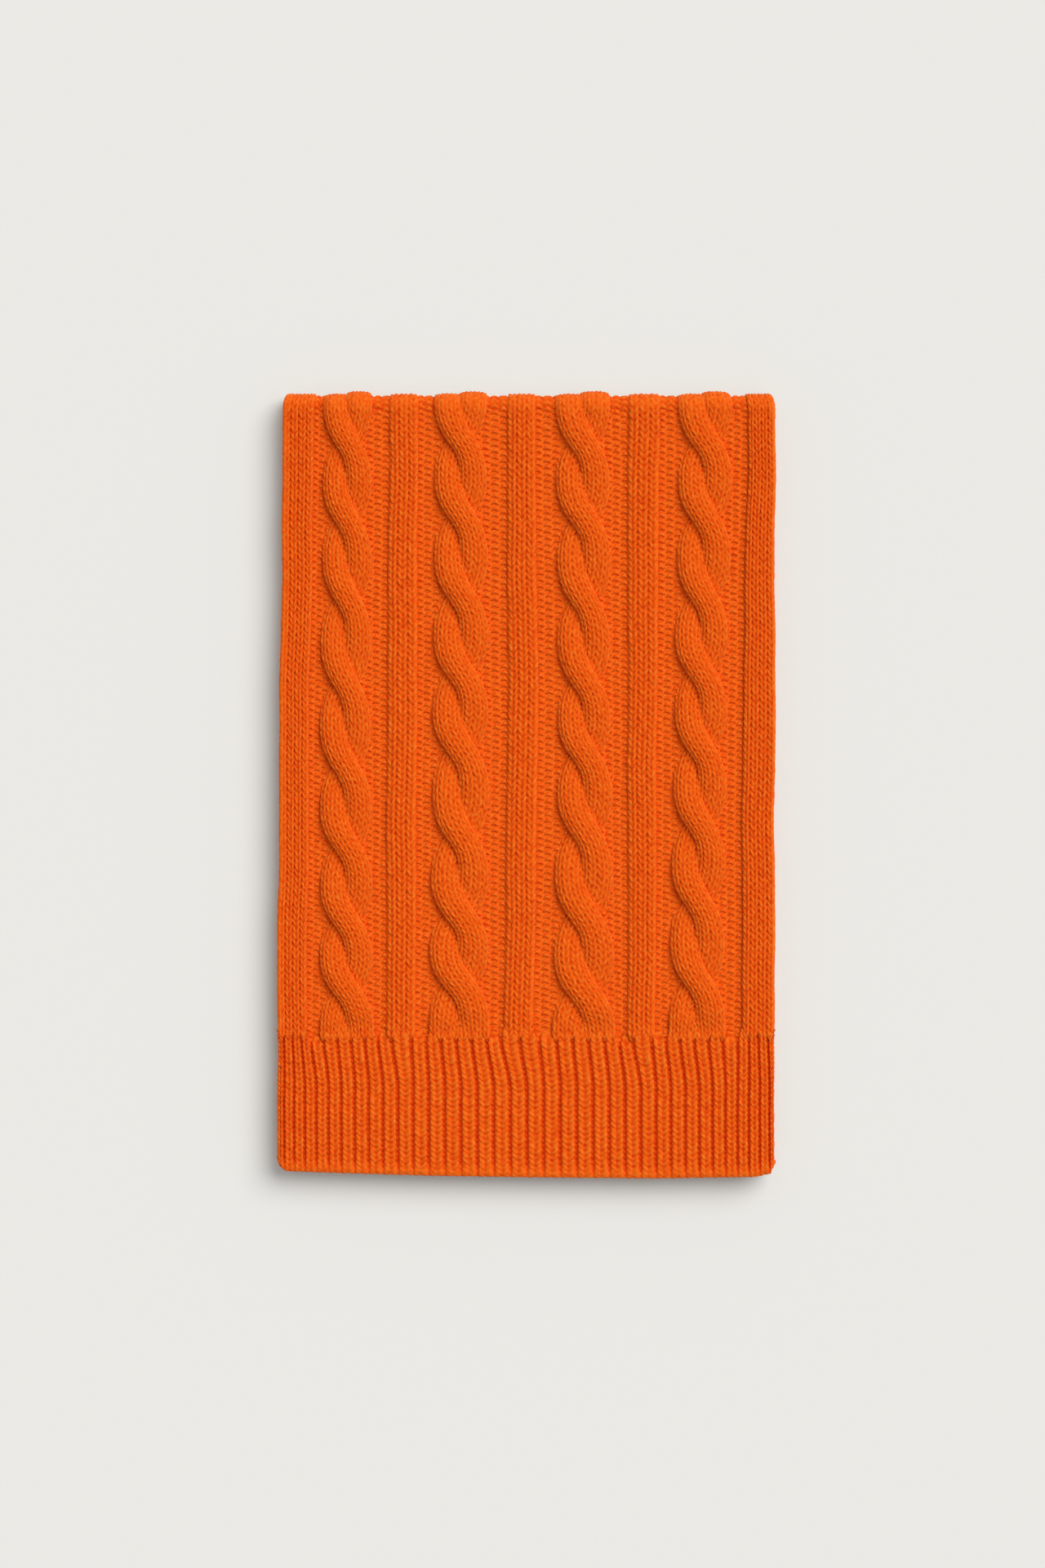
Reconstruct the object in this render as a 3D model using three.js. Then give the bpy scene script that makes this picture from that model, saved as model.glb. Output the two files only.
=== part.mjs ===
// A chunky cable-knit scarf folded in half twice and laid flat, 300 mm wide and 484 mm long.
// X runs across the scarf, +Y towards the folded end, +Z up from the surface it lies on.
// The cloth on top is one wall with a plain inner face: knit bands and cables are raised in
// its outer face, and it turns down round the back fold. The other end is a band of ribs.
// The layers folded under it are one rounded solid with a rolled edge for each layer.

import * as THREE from "three";

// Sizes in millimetres.
const LAYER = 4.9; // one folded layer
const HIDDEN_LAYERS = 3;
const GAP = 0.3; // between solids
const STACK_TOP = LAYER * HIDDEN_LAYERS;
const INNER_Z = STACK_TOP + GAP; // plain inner face of the top wall
const FOLD_Y = 229.9; // where the cloth starts to turn down
const FOLD_INNER = (INNER_Z - LAYER) / 2; // inner radius of the back fold
const FOLD_Z = LAYER + FOLD_INNER; // height of the fold's axis
const FOLD_STEPS = 8;
const TURN_RADIUS = FOLD_INNER * Math.cos(Math.PI / 2 / FOLD_STEPS) - GAP; // of the layers inside it
const TURN_START = LAYER + 1; // height at which they leave the end of the bottom layer
const FOLD_MEASURE = FOLD_INNER + LAYER / 2; // radius at which the cloth is measured
const RIB_START = 383.6; // from the fold line to the first row of ribs
const SEAM_Y = FOLD_Y - RIB_START;
const CORNER = 12; // the selvedges draw in over the last of the fold
const CORNER_INSET = 3.4;
const CORNER_INNER_X = 100; // nothing nearer the middle is drawn in
const CORNER_OUTER_X = 150;
const FLATTEN_FROM = 0.55; // share of the turn after which the cloth flattens to one layer

// Heights of the outer face over the inner face.
const GUTTER_HEIGHT = 2.6;
const BAND_HEIGHT = 4.2;
const WALE_GROOVE_HEIGHT = 3.4;
const CABLE_HEIGHT = 6.8;
const CABLE_VALLEY_HEIGHT = 3.2;
const RIB_HEIGHT = 4.3;
const RIB_GROOVE_HEIGHT = 2.2;
const SHOULDER_SHARE = 0.22; // of a wale: where the side of a band reaches its shoulder
const SHOULDER_RISE = 0.7;

// The strips of the cloth from left to right. Each has its right edge, in x, at the three
// stations of STATIONS: near the fold, half way down, and just above the ribs.
const STATIONS = [25, 187, 370];
const LEFT_EDGE = [-149.2, -151.2, -152.7];
const STRIPS = [
  { kind: "edge", right: [-129.7, -132.7, -134.2] },
  { kind: "gutter", right: [-124.7, -127.0, -126.7] },
  { kind: "cable", right: [-94.0, -94.5, -93.0] },
  { kind: "gutter", right: [-84.2, -85.7, -86.0] },
  { kind: "band", right: [-66.2, -66.7, -67.8] },
  { kind: "gutter", right: [-56.5, -57.7, -59.7] },
  { kind: "cable", right: [-23.5, -22.2, -22.2] },
  { kind: "gutter", right: [-12.0, -11.5, -13.7] },
  { kind: "band", right: [5.8, 7.8, 4.8] },
  { kind: "gutter", right: [17.8, 19.2, 15.8] },
  { kind: "cable", right: [52.0, 52.5, 55.0] },
  { kind: "gutter", right: [62.0, 62.0, 62.0] },
  { kind: "band", right: [82.0, 80.4, 79.6] },
  { kind: "gutter", right: [93.0, 90.4, 87.2] },
  { kind: "cable", right: [127.2, 123.5, 122.2] },
  { kind: "gutter", right: [135.6, 132.5, 131.8] },
  { kind: "edge", right: [152.7, 152.7, 152.3] },
];

// Every twelfth row the left half of a cable passes over the right half. Each row of this
// table gives, for the cables a to d from the left, how far the crossing is from the fold.
const CABLE_REPEAT = 47.4;
const CROSSINGS = [
  { a: 43.6, b: 41.1, c: 43.6, d: 43.1 },
  { a: 90.1, b: 87.1, c: 90.1, d: 88.1 },
  { a: 139.6, b: 139.6, c: 142.6, d: 139.6 },
  { a: 193.6, b: 182.1, c: 189.1, d: 181.6 },
  { a: 242.6, b: 233.1, c: 233.1, d: 232.1 },
  { a: 290.6, b: 287.6, c: 282.6, d: 274.6 },
  { a: 335.1, b: 330.1, c: 335.6, d: 327.6 },
  { a: 376.1, b: 372.6, c: 377.6, d: 372.6 },
];
const CROSSING_REACH = 26; // half the length of a crossing
const CABLE_CENTRE = 0.555; // where its valley passes, as a share of the cable's width
const CABLE_COLUMNS = [0, 0.04, 0.14, 0.27, 0.4, 0.5, 0.56, 0.62, 0.72, 0.85, 0.95, 1];
const CABLE_ROWS = [0, 0.05, 0.22, 0.5, 0.78, 0.95];
const CABLE_FLATTEN = 20; // length over which a cable sinks into the ribs
const CABLE_ROW_MARGIN = 2; // no row lies nearer to the fold line or to the ribs
const CABLE_SIDE = 0.27; // share of the width over which each side rounds up
const VALLEY_SHARPNESS = 0.6; // below 1 the valley runs steeper in its middle
const STRAND_STEEP = 0.05; // share of a strand's length in which its front side rises
const STRAND_GENTLE = 0.3; // and in which it comes out from under, or goes down
const POINT_SHARE = 0.2; // share of the width in which a strand draws in to a point
const POINT_LENGTH = 0.3;

// The rolled selvedge: how far each point is in from the edge, and its height.
const SELVEDGE = [
  { inset: 0.6, height: 0.8 },
  { inset: 0, height: 2.1 },
  { inset: 0.7, height: 3.4 },
];

// Ribs: 35 grooves between the two selvedges, closer together towards the edges.
const RIB_GROOVES = 35;
const RIB_LEFT = -148.2;
const RIB_RIGHT = 149.3;
const RIB_EDGE_CROWDING = 0.43;
const RIB_SHOULDERS = [0.28, 0.72]; // shares of the way from groove to groove
const RIB_ROWS = [0, 26, 56, 78];
const HEM_DEPTH = 5; // the rolled part at the cast-on edge
const HEM_ROLL = [
  { back: 2.6, share: 0.92 },
  { back: 0.8, share: 0.7 },
  { back: 0, share: 0.36 },
];

// The cast-on edge at the front, as y for some x.
const HEM = [
  { x: -152.7, y: -229.6 },
  { x: -151.0, y: -234.6 },
  { x: -147.0, y: -237.2 },
  { x: -120.0, y: -238.2 },
  { x: -60.0, y: -240.0 },
  { x: 0.0, y: -241.0 },
  { x: 80.0, y: -241.7 },
  { x: 140.0, y: -240.8 },
  { x: 150.0, y: -238.8 },
  { x: 152.7, y: -232.6 },
];

// Hidden layers: how far each lies inside the outline of the top layer, and how its rolled
// edge draws in above and below its middle.
const HIDDEN_INSETS = [
  { side: 1.4, front: 2.6 },
  { side: 2.6, front: 2.6 },
  { side: 1.8, front: 1.6 },
];
const ROLL_DEPTH = 2.2;
const ROUNDNESS = 0.98; // at 1 a groove between layers would have no width
const ROLL_STEPS = [0, 0.1, 0.33, 0.67, 0.9];
const STACK_CORNER = 7;
const STACK_CORNER_STEPS = 4;
const STACK_HEM = [-120, -60, 0, 80]; // x of the corners along the front

const WOOL = { color: 0xdf5412, roughness: 0.95, metalness: 0 };

const clamp = (v, low, high) => Math.min(high, Math.max(low, v));
const mix = (a, b, share) => a + (b - a) * share;
const smooth = (low, high, v) => {
  const share = clamp((v - low) / (high - low), 0, 1);
  return share * share * (3 - 2 * share);
};

// Straight-line reading of a table: the value at v between the places in keys.
function between(keys, values, v) {
  let i = 1;
  while (i < keys.length - 1 && v > keys[i]) i += 1;
  const share = clamp((v - keys[i - 1]) / (keys[i] - keys[i - 1]), 0, 1);
  return mix(values[i - 1], values[i], share);
}

// The x of the left edge, or of the right edge of a strip, at distance s from the fold line.
const stripEdge = (index, s) =>
  between(STATIONS, index < 0 ? LEFT_EDGE : STRIPS[index].right, s);

// How far the selvedges draw in near the turn of the fold.
function cornerInset(y) {
  const share = clamp((y - FOLD_Y) / CORNER, 0, 1);
  return CORNER_INSET * share * share;
}

// A point of the top wall: s is the distance from the fold line, towards the ribs when
// positive and round the fold when negative. The wall lies flat where the fold ends.
function wallPoint(x, s, height, flatHeight) {
  if (s >= 0) return new THREE.Vector3(x, FOLD_Y - s, INNER_Z + height);
  const angle = Math.min(Math.PI, -s / FOLD_MEASURE);
  const flattened = mix(height, flatHeight, smooth(FLATTEN_FROM, 1, angle / Math.PI));
  const radius = FOLD_INNER + flattened;
  const y = FOLD_Y + radius * Math.sin(angle);
  const z = Math.max(0, FOLD_Z + radius * Math.cos(angle));
  const outward = (Math.abs(x) - CORNER_INNER_X) / (CORNER_OUTER_X - CORNER_INNER_X);
  const drawnIn = clamp(outward, 0, 1) * cornerInset(y);
  return new THREE.Vector3(x - Math.sign(x) * drawnIn, y, z);
}

// Distances of the rows that every column has: round the fold, at the stations, at the end.
const FOLD_ROWS = [];
for (let i = FOLD_STEPS; i >= 0; i -= 1) {
  FOLD_ROWS.push((-i / FOLD_STEPS) * Math.PI * FOLD_MEASURE);
}
const PLAIN_ROWS = [...FOLD_ROWS, ...STATIONS, RIB_START];

// One column of the wall's outer face at a share of a strip's width.
function stripColumn(strip, share, heightAt, rows = PLAIN_ROWS) {
  return rows.map((s) => {
    const x = mix(stripEdge(strip - 1, s), stripEdge(strip, s), share);
    return { s, point: wallPoint(x, s, heightAt(s), LAYER) };
  });
}

// One column of a rolled selvedge. side is -1 on the left and 1 on the right.
function selvedgeColumn(side, { inset, height }) {
  const flatHeight = height * (LAYER / BAND_HEIGHT);
  return PLAIN_ROWS.map((s) => {
    const edge = side < 0 ? stripEdge(-1, s) : stripEdge(STRIPS.length - 1, s);
    return { s, point: wallPoint(edge - side * inset, s, height, flatHeight) };
  });
}

// A knit band: a ridge for each wale with a groove between, down to the gutter at its sides.
function bandColumns(strip, wales, openLeft, openRight) {
  const columns = [];
  const shoulder = SHOULDER_SHARE / wales;
  const shoulderHeight = mix(GUTTER_HEIGHT, BAND_HEIGHT, SHOULDER_RISE);
  const add = (share, height) => columns.push(stripColumn(strip, share, () => height));
  if (openLeft) {
    add(0, GUTTER_HEIGHT);
    add(shoulder, shoulderHeight);
  }
  for (let wale = 0; wale < wales; wale += 1) {
    if (wale > 0) add(wale / wales, WALE_GROOVE_HEIGHT);
    add((wale + 0.5) / wales, BAND_HEIGHT);
  }
  if (openRight) {
    add(1 - shoulder, shoulderHeight);
    add(1, GUTTER_HEIGHT);
  }
  return columns;
}

// The valley between two strands runs as an S across the cable, from the upper left to the
// lower right: its distance from the crossing's middle at a share u of the cable's width.
function valleyOffset(u) {
  const v = clamp(2 * (u - CABLE_CENTRE), -1, 1);
  const rise = Math.abs(Math.sin((v * Math.PI) / 2)) ** VALLEY_SHARPNESS;
  return CROSSING_REACH * Math.sign(v) * rise;
}

// Height of a cable at a share u of its width and a share w of the way from one valley to
// the next. On the left a strand comes out from under the last one and ends as the front
// strand. On the right it starts in front and goes down under the next one.
function cableHeight(u, w, s) {
  const fromSide = Math.min(1, Math.min(u, 1 - u) / CABLE_SIDE);
  const side = Math.sin((Math.PI / 2) * fromSide) ** 0.6;
  const sink = smooth(RIB_START - CABLE_FLATTEN, RIB_START, s);
  const top = mix(GUTTER_HEIGHT, mix(CABLE_HEIGHT, BAND_HEIGHT, sink), side);
  const valley = mix(CABLE_VALLEY_HEIGHT, BAND_HEIGHT, sink);
  const low = Math.min(top, mix(GUTTER_HEIGHT, valley, side));
  const rightward = smooth(CABLE_CENTRE - 0.2, CABLE_CENTRE + 0.2, u);
  const rightPoint = clamp(1 - (1 - u) / POINT_SHARE, 0, 1) * POINT_LENGTH;
  const leftPoint = clamp(1 - u / POINT_SHARE, 0, 1) * POINT_LENGTH;
  const rise = mix(STRAND_GENTLE, STRAND_STEEP, rightward) + rightPoint;
  const fall = mix(STRAND_STEEP, STRAND_GENTLE, rightward) + leftPoint;
  return mix(low, top, smooth(0, rise, w) * smooth(0, fall, 1 - w));
}

// A cable: its rows follow the valleys, so each column has rows of its own.
function cableColumns(strip, name) {
  const crossings = CROSSINGS.map((row) => row[name]);
  const valleys = [
    crossings[0] - 2 * CABLE_REPEAT,
    crossings[0] - CABLE_REPEAT,
    ...crossings,
    crossings[crossings.length - 1] + CABLE_REPEAT,
  ];
  return CABLE_COLUMNS.map((u) => {
    const lines = valleys.map((s) => s + valleyOffset(u));
    const heightAt = (s) => {
      let i = 1;
      while (i < lines.length - 1 && s > lines[i]) i += 1;
      const w = clamp((s - lines[i - 1]) / (lines[i] - lines[i - 1]), 0, 1);
      return cableHeight(u, w, s);
    };
    const rows = [];
    for (let i = 0; i < lines.length - 1; i += 1) {
      for (const w of CABLE_ROWS) rows.push(mix(lines[i], lines[i + 1], w));
    }
    const inside = rows.filter(
      (s) => s > CABLE_ROW_MARGIN && s < RIB_START - CABLE_ROW_MARGIN,
    );
    return stripColumn(strip, u, heightAt, [...FOLD_ROWS, ...inside, RIB_START]);
  });
}

// All columns of the top wall round its section: the outer face from left to right.
function wallColumns() {
  const columns = SELVEDGE.map((row) => selvedgeColumn(-1, row));
  const cables = ["a", "b", "c", "d"];
  STRIPS.forEach(({ kind }, strip) => {
    if (kind === "edge") columns.push(...bandColumns(strip, 4, strip > 0, strip === 0));
    if (kind === "band") columns.push(...bandColumns(strip, 3, true, true));
    if (kind === "cable") columns.push(...cableColumns(strip, cables.shift()));
  });
  const right = SELVEDGE.map((row) => selvedgeColumn(1, row));
  return [...columns, ...right.reverse()];
}

// Collects corners and triangles of one solid and turns them into a mesh.
class Solid {
  constructor() {
    this.corners = [];
    this.triangles = [];
  }

  add(point) {
    this.corners.push(point.x, point.y, point.z);
    return this.corners.length / 3 - 1;
  }

  at(id) {
    return new THREE.Vector3().fromArray(this.corners, id * 3);
  }

  // Joins two chains of corners, each with its place s along the chain, always stepping the
  // one that lies behind. The face looks up where left, right and s run as x and -y do.
  zip(left, right) {
    let i = 0;
    let j = 0;
    while (i < left.length - 1 || j < right.length - 1) {
      const leftNext = i < left.length - 1 ? left[i + 1].s : Infinity;
      const rightNext = j < right.length - 1 ? right[j + 1].s : Infinity;
      if (leftNext <= rightNext) {
        this.triangles.push(left[i].id, left[i + 1].id, right[j].id);
        i += 1;
      } else {
        this.triangles.push(left[i].id, right[j + 1].id, right[j].id);
        j += 1;
      }
    }
  }

  mesh(name) {
    const geometry = new THREE.BufferGeometry();
    geometry.setAttribute("position", new THREE.Float32BufferAttribute(this.corners, 3));
    geometry.setIndex(this.triangles);
    geometry.computeVertexNormals();
    const mesh = new THREE.Mesh(geometry, new THREE.MeshStandardMaterial(WOOL));
    mesh.name = name;
    return mesh;
  }
}

// Closes a wall whose outer face is made of columns. Its plain inner face spans straight from
// side to side: two corners in each row, and at both ends one under each column that isn't
// part of a rolled selvedge.
function closeWall(solid, columns, lower) {
  const last = columns.length - 1;
  const rowCount = columns[0].length;
  const carried = columns
    .map((column, s) => ({ column, s }))
    .filter(({ s }) => s === 0 || s === last || (s >= SELVEDGE.length && s <= last - SELVEDGE.length));
  const rows = [];
  for (let i = 0; i < rowCount; i += 1) {
    const isEnd = i === 0 || i === rowCount - 1;
    const under = isEnd ? carried : [carried[0], carried[carried.length - 1]];
    rows.push(under.map(({ column, s }) => {
      const id = lower(column[i === 0 ? 0 : column.length - rowCount + i].id);
      return { s, id };
    }));
  }
  const across = (row) => row.map(({ id }) => ({ s: solid.at(id).x, id }));
  for (let i = 0; i < rowCount - 1; i += 1) solid.zip(across(rows[i]), across(rows[i + 1]));

  const side = (pick) => rows.map((row, s) => ({ s, id: pick(row).id }));
  const outer = (column) => column.map(({ id }, s) => ({ s, id }));
  solid.zip(side((row) => row[0]), outer(columns[0]));
  solid.zip(outer(columns[last]), side((row) => row[row.length - 1]));
  const end = (pick) => columns.map((column, s) => ({ s, id: pick(column).id }));
  solid.zip(end((column) => column[0]), rows[0]);
  solid.zip(rows[rowCount - 1], end((column) => column[column.length - 1]));
}

// The cabled body: columns zipped together over the outer face, round the fold as well.
function makeCablePanel() {
  const solid = new Solid();
  const places = wallColumns();
  const columns = places.map((column) =>
    column.map(({ s, point }) => ({ s, id: solid.add(point) })),
  );
  for (let i = 0; i < columns.length - 1; i += 1) solid.zip(columns[i], columns[i + 1]);
  const rowOf = new Map(columns.flat().map(({ s, id }) => [id, s]));
  const lower = (id) => {
    const { x } = solid.at(id);
    return solid.add(wallPoint(x, rowOf.get(id), 0, 0));
  };
  closeWall(solid, columns, lower);
  return solid.mesh("cable_panel");
}

// The x of each groove between ribs, closer together towards the selvedges.
function ribGrooves() {
  const pitches = [];
  for (let i = 0; i < RIB_GROOVES - 1; i += 1) {
    const t = (2 * i + 1) / (RIB_GROOVES - 1) - 1;
    pitches.push(1 - RIB_EDGE_CROWDING * t * t);
  }
  const total = pitches.reduce((sum, pitch) => sum + pitch, 0);
  const grooves = [RIB_LEFT];
  for (const pitch of pitches) {
    grooves.push(grooves[grooves.length - 1] + ((RIB_RIGHT - RIB_LEFT) * pitch) / total);
  }
  return grooves;
}

const hemY = (x) => between(HEM.map((row) => row.x), HEM.map((row) => row.y), x);

// The ribbed end: a ridge between each two grooves, rolled down at the cast-on edge, over
// a plain inner face.
function makeRibEnd() {
  const solid = new Solid();
  const left = stripEdge(-1, RIB_START);
  const right = -left;
  const grooves = ribGrooves();
  const profile = SELVEDGE.map(({ inset, height }) => ({ x: left + inset, height }));
  grooves.forEach((x, i) => {
    profile.push({ x, height: RIB_GROOVE_HEIGHT });
    if (i === grooves.length - 1) return;
    for (const share of RIB_SHOULDERS) {
      profile.push({ x: mix(x, grooves[i + 1], share), height: RIB_HEIGHT });
    }
  });
  for (const { inset, height } of [...SELVEDGE].reverse()) {
    profile.push({ x: right - inset, height });
  }

  const top = SEAM_Y - GAP;
  const columns = profile.map(({ x, height }) => {
    const hem = hemY(x);
    const points = RIB_ROWS.map((s) => [Math.max(top - s, hem + HEM_DEPTH), height]);
    for (const { back, share } of HEM_ROLL) points.push([hem + back, height * share]);
    return points.map(([y, h], s) => ({
      s,
      id: solid.add(new THREE.Vector3(x, y, INNER_Z + h)),
    }));
  });
  for (let i = 0; i < columns.length - 1; i += 1) solid.zip(columns[i], columns[i + 1]);

  const lower = (id) => {
    const { x, y } = solid.at(id);
    return solid.add(new THREE.Vector3(x, y, INNER_Z));
  };
  closeWall(solid, columns, lower);
  return solid.mesh("rib_end");
}

// How far a round edge of radius 1 draws in at v, from -1 at its foot to 1 at its top.
const roundOff = (v) => 1 - Math.sqrt(1 - ROUNDNESS * v * v);

// The outline of the hidden layers at one height, anticlockwise from the front right corner.
// The two lower layers turn into each other in front, and the two upper ones at the back.
function stackRing(z) {
  const layer = clamp(Math.ceil(z / LAYER) - 1, 0, HIDDEN_LAYERS - 1);
  const fromMiddle = clamp((z - (layer + 0.5) * LAYER) / (LAYER / 2), -1, 1);
  const roll = ROLL_DEPTH * roundOff(fromMiddle);
  const inset = HIDDEN_INSETS[layer].side + roll;
  const isFrontFold = z < 2 * LAYER;
  const frontRoll = isFrontFold ? LAYER * roundOff((z - LAYER) / LAYER) : roll;
  const front = HIDDEN_INSETS[layer].front + frontRoll;
  const rise = clamp((z - FOLD_Z) / TURN_RADIUS, -1, 1);
  const turn = TURN_RADIUS * Math.sqrt(1 - rise * rise);
  const back = z < TURN_START ? FOLD_Y - GAP : FOLD_Y + turn;

  const points = [];
  const addSide = (side, upwards) => {
    const corner = [];
    for (let i = 0; i <= STACK_CORNER_STEPS; i += 1) {
      const angle = ((i / STACK_CORNER_STEPS) * Math.PI) / 2;
      const drawn = STACK_CORNER * (1 - Math.sin(angle));
      corner.push({ drawn, along: STACK_CORNER * (1 - Math.cos(angle)) });
    }
    const edgeAt = (y) => {
      const s = FOLD_Y - y;
      return side < 0 ? stripEdge(-1, s) + inset : stripEdge(STRIPS.length - 1, s) - inset;
    };
    const column = [];
    for (const { drawn, along } of corner) {
      const x = edgeAt(SEAM_Y) - side * drawn;
      column.push([x, hemY(x) + front + along]);
    }
    for (const s of [...STATIONS].reverse()) column.push([edgeAt(FOLD_Y - s), FOLD_Y - s]);
    for (const { drawn, along } of [...corner].reverse()) {
      const y = back - along;
      column.push([edgeAt(y) - side * drawn, y]);
    }
    points.push(...(upwards ? column : column.reverse()));
  };
  addSide(1, true);
  addSide(-1, false);
  for (const x of STACK_HEM) points.push([x, hemY(x) + front]);
  return points.map(([x, y]) => new THREE.Vector3(x, y, z));
}

// Closes a ring with a flat face: between its two sides, then in front of them to the hem.
function closeRing(solid, ring, facesUp) {
  const sideLength = (ring.length - STACK_HEM.length) / 2;
  const asChain = (ids) => ids.map((id) => ({ s: solid.at(id).y, id }));
  const right = asChain(ring.slice(0, sideLength));
  const left = asChain(ring.slice(sideLength, 2 * sideLength).reverse());
  if (facesUp) solid.zip(right, left);
  else solid.zip(left, right);
  const hem = [...ring.slice(2 * sideLength), right[0].id];
  for (let i = 0; i < hem.length - 1; i += 1) {
    const face = [left[0].id, hem[i], hem[i + 1]];
    solid.triangles.push(...(facesUp ? face : face.reverse()));
  }
}

// The folded layers: one ring for each height, closed by a flat underside and top.
function makeFoldedLayers() {
  const heights = [];
  for (let layer = 0; layer < HIDDEN_LAYERS; layer += 1) {
    for (const share of ROLL_STEPS) heights.push((layer + share) * LAYER);
  }
  heights.push(STACK_TOP);
  const solid = new Solid();
  const rings = heights.map((z) => stackRing(z).map((point) => solid.add(point)));
  for (let i = 0; i < rings.length - 1; i += 1) {
    const [low, high] = [rings[i], rings[i + 1]];
    low.forEach((corner, j) => {
      const next = (j + 1) % low.length;
      solid.triangles.push(corner, low[next], high[next]);
      solid.triangles.push(corner, high[next], high[j]);
    });
  }
  closeRing(solid, rings[0], false);
  closeRing(solid, rings[rings.length - 1], true);
  return solid.mesh("folded_layers");
}

const group = new THREE.Group();
group.add(makeCablePanel(), makeRibEnd(), makeFoldedLayers());

export default group;
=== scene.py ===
import bpy
import numpy as np
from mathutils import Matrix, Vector


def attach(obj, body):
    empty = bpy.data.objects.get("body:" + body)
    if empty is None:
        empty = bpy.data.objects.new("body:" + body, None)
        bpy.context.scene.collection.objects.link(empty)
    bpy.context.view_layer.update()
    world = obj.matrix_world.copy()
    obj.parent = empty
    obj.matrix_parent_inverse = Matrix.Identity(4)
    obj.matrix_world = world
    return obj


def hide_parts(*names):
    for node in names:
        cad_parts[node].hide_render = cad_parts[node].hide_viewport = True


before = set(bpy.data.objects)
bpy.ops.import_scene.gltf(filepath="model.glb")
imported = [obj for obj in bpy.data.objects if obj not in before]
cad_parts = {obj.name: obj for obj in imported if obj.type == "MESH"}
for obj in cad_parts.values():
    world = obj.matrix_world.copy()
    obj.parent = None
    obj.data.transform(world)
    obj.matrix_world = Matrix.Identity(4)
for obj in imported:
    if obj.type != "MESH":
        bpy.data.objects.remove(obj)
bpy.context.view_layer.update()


# The edge bands. At each side of the scarf seven wales of plain knitting in thick woollen
# yarn run from end to end. Plain knitting curls, so the outer three roll under, and the
# cloth of the top layer lies flat and then turns down round the back fold. Millimetres.
LAYER = 4.9  # one folded layer
INNER_Z = 15.0  # plain inner face of the top layer
FOLD_Y = 229.9  # where the cloth starts to turn down
FOLD_INNER = 5.05  # inner radius of the back fold
FOLD_Z = 9.95  # height of its axis
FOLD_MEASURE = 7.5  # radius at which the cloth is measured
FOLD_END = -np.pi * FOLD_MEASURE
FLATTEN_FROM = 0.55  # share of the turn after which the cloth flattens to one layer
FLAT_SPARE = 0.6  # how far the crests stay off the ground before they are pressed flat
FOLD_BULGE = 5.3  # height of the bands at the crown of the fold, where the cloth stands off
FOLD_EVENS = 0.5  # share of the other heights' difference that is left there
PRESSED_EVENS = 0.12  # and where the cloth is pressed flat
ROLL_AT_CROWN = 1.6  # the rolled selvedges keep their full thickness, and more
ROLL_PRESSED = 2.0
CORNER = 12  # the selvedges draw in over the last of the fold
CORNER_INSET = 3.4
CORNER_X = (100, 150)
CORNER_TUCK = 1.5  # and a little more where they go on under the scarf
TUCKED_COURSES = 2
RIB_START = 383.6  # from the fold line to the first row of ribs
BODY_LENGTH = RIB_START - FOLD_END
COURSE = 3.94  # one row of stitches in the body
STATIONS = [25, 187, 370]  # distances from the fold line at which the strips were measured
LEFT_EDGE = [-149.2, -151.2, -152.7]
STRIPS = [
    ("edge", [-129.7, -132.7, -134.2]),
    ("gutter", [-124.7, -127.0, -126.7]),
    ("cable", [-94.0, -94.5, -93.0]),
    ("gutter", [-84.2, -85.7, -86.0]),
    ("band", [-66.2, -66.7, -67.8]),
    ("gutter", [-56.5, -57.7, -59.7]),
    ("cable", [-23.5, -22.2, -22.2]),
    ("gutter", [-12.0, -11.5, -13.7]),
    ("band", [5.8, 7.8, 4.8]),
    ("gutter", [17.8, 19.2, 15.8]),
    ("cable", [52.0, 52.5, 55.0]),
    ("gutter", [62.0, 62.0, 62.0]),
    ("band", [82.0, 80.4, 79.6]),
    ("gutter", [93.0, 90.4, 87.2]),
    ("cable", [127.2, 123.5, 122.2]),
    ("gutter", [135.6, 132.5, 131.8]),
    ("edge", [152.7, 152.7, 152.3]),
]
GUTTER_HEIGHT = 1.9  # heights over the inner face
BAND_HEIGHT = 4.3
RIDGE_FOOT = GUTTER_HEIGHT - 0.9  # where the side of a ridge goes down behind the gutter
ROLL_RADIUS = 2.15
EDGE_WALES = 7
FLAT_WALES = 3.6  # the rest roll under
ROLL_WALE = 3.1  # width of a wale in the roll
ROLL_RELIEF = 0.32  # the stitches are pulled smooth round it
WALE_COLUMNS = 8  # columns of the mesh in one wale
COURSE_ROWS = 4  # rows of the mesh in one course
STITCH_LEAN = 0.95  # how far the middle of a V lies below its sides, in courses
WALE_GROOVE = 1.3  # depth between wales
SIDE_GROOVE = 0.35  # at the outer sides of a ridge, which fall away anyway
GROOVE_BEADS = 0.85  # how much deeper it is at the small hole between two stitches
LEG_GROOVE = 1.15  # depth between the two legs of a stitch
DROP_LENGTHWISE = 0.6  # how much of a leg's roundness runs along it
ROW_DRIFT = 0.12  # how far a row strays from its place, in courses
STITCH_TILT = 0.24  # the foot of each stitch lies over the head of the next
STITCH_UNEVEN = 0.2  # from stitch to stitch
YARN_UNEVEN = 0.05  # of the yarn's surface
FOLD_RELIEF = 0.5  # share of all this that is left round the back fold
MM = 0.001


def mix(a, b, share):
    """The value a share of the way from a to b."""
    return a + (b - a) * share


def smooth(low, high, value):
    """Rises from 0 at low to 1 at high, level at both ends: 3t^2 - 2t^3."""
    t = np.clip((value - low) / (high - low), 0, 1)
    return t * t * (3 - 2 * t)


def strip_edge(strip, s):
    """The x of a strip's right edge, or of the left selvedge at -1, read straight between stations."""
    row = LEFT_EDGE if strip < 0 else STRIPS[strip][1]
    return np.interp(s, STATIONS, row)


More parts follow.
